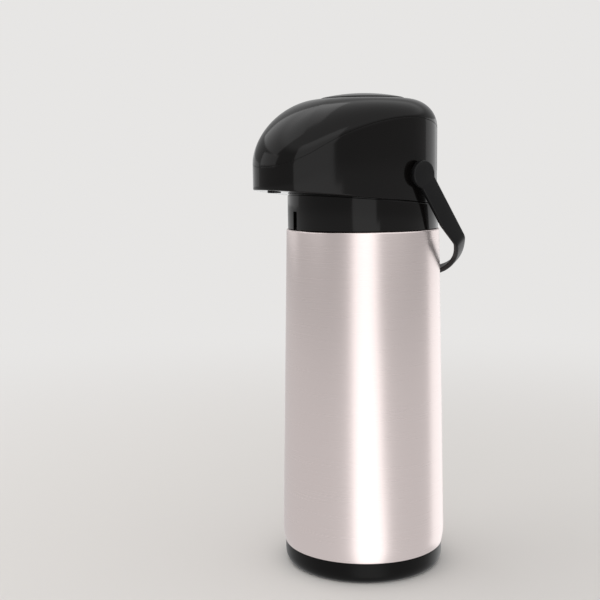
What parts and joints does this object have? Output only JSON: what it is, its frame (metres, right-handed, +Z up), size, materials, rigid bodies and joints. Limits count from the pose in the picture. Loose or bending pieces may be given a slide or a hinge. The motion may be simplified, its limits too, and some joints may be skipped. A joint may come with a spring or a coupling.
{
  "type": "thermal coffee airpot",
  "caption": "Vacuum airpot: a tapered steel body with a glass flask, a black pump head with an overhanging spout nose, a round press button and a swinging bail handle.",
  "frame": {"origin": "on the standing surface, under the body's axis", "axes": "+Z up along the body's axis, -Y towards the spout, +X to the right seen from behind"},
  "size_m": [0.1294, 0.1675, 0.3724],
  "materials": {
    "black_gloss": "moulded, polished",
    "black_satin": "moulded, satin",
    "steel": "satin stainless steel, brushed round the body",
    "flask_glass": "silvered glass",
    "rubber": "moulded silicone and rubber",
    "tube_plastic": "translucent tube",
    "hardware": "zinc plated"
  },
  "bodies": {
    "vessel": {"base_ring": "black_gloss", "base_cap": "black_satin", "liner_cushion": "rubber", "steel_shell": "steel", "neck_ring": "black_satin", "neck_gasket": "rubber", "flask_outer": "flask_glass", "flask_inner": "flask_glass", "flask_neck": "flask_glass"},
    "seal": {"mouth_seal": "rubber"},
    "head": {"collar": "black_gloss", "head_shell": "black_gloss", "top_cover": "black_gloss", "pump_base": "black_satin", "bellows_plate": "black_satin", "pump_cylinder": "black_satin", "bellows": "rubber", "return_spring": "hardware", "riser_tube": "tube_plastic", "riser_elbow": "black_satin", "spout_duct": "black_satin", "nozzle": "black_satin", "pump_screws": "hardware", "head_screws": "hardware", "cylinder_screws": "hardware"},
    "button": {"press_button": "black_gloss", "bellows_cap": "black_satin", "vent_plug": "rubber"},
    "ball": {"tipover_ball": "hardware"},
    "bail": {"bail_handle": "black_satin", "bail_retainers": "hardware"}
  },
  "joints": [
    {"name": "head_turn", "type": "hinge", "parent": "vessel", "child": "seal", "pos_m": [0, 0, 0.27], "axis": [0, 0, 1], "range_deg": [0, 360]},
    {"name": "head_lift", "type": "slide", "parent": "seal", "child": "head", "axis": [0, 0, 1], "range_m": [0, 0.26]},
    {"name": "button_press", "type": "slide", "parent": "head", "child": "button", "axis": [0, 0, -1], "range_m": [0, 0.016], "stiffness_N_per_m": 350, "springref_m": -0.008, "deforming": ["bellows", "return_spring"]},
    {"name": "tipover_ball_lift", "type": "slide", "parent": "head", "child": "ball", "axis": [0, 0, 1], "range_m": [0, 0.003]},
    {"name": "bail_swing", "type": "hinge", "parent": "head", "child": "bail", "pos_m": [0, 0.006, 0.31], "axis": [1, 0, 0], "range_deg": [0, 195]}
  ]
}
